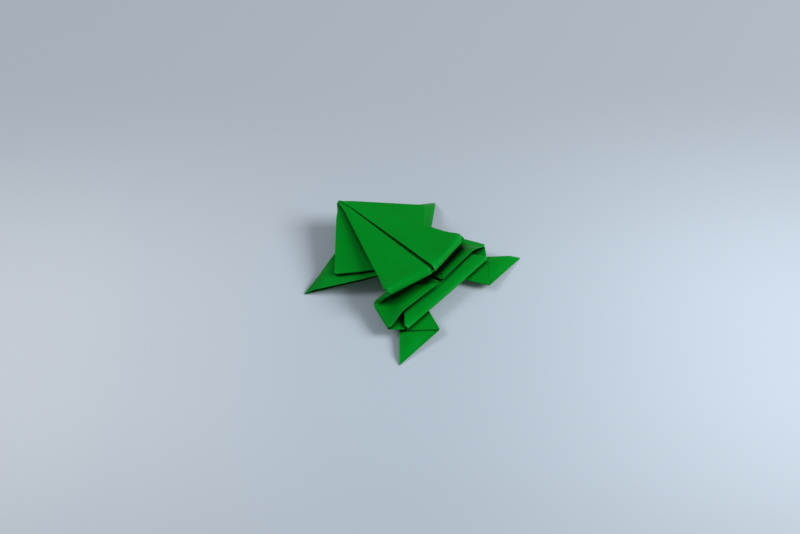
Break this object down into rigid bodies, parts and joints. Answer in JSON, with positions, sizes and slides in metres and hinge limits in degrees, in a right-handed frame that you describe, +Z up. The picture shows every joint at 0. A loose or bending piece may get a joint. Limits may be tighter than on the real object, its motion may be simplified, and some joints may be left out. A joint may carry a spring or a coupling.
{
  "type": "origami jumping frog",
  "caption": "Folded paper frog with a triangular head, a zigzag spring pleat across the back and splayed legs, that hops when its tail edge is pressed and let go.",
  "frame": {"origin": "on the table, under the middle of the frog's bounding box", "axes": "+Y towards the nose, +X to the frog's right, +Z up"},
  "size_m": [0.0574, 0.0542, 0.0114],
  "materials": {
    "green_paper": "matt dyed paper, the same green on both sides"
  },
  "bodies": {
    "root": {"folded_frog": "green_paper"}
  },
  "joints": []
}
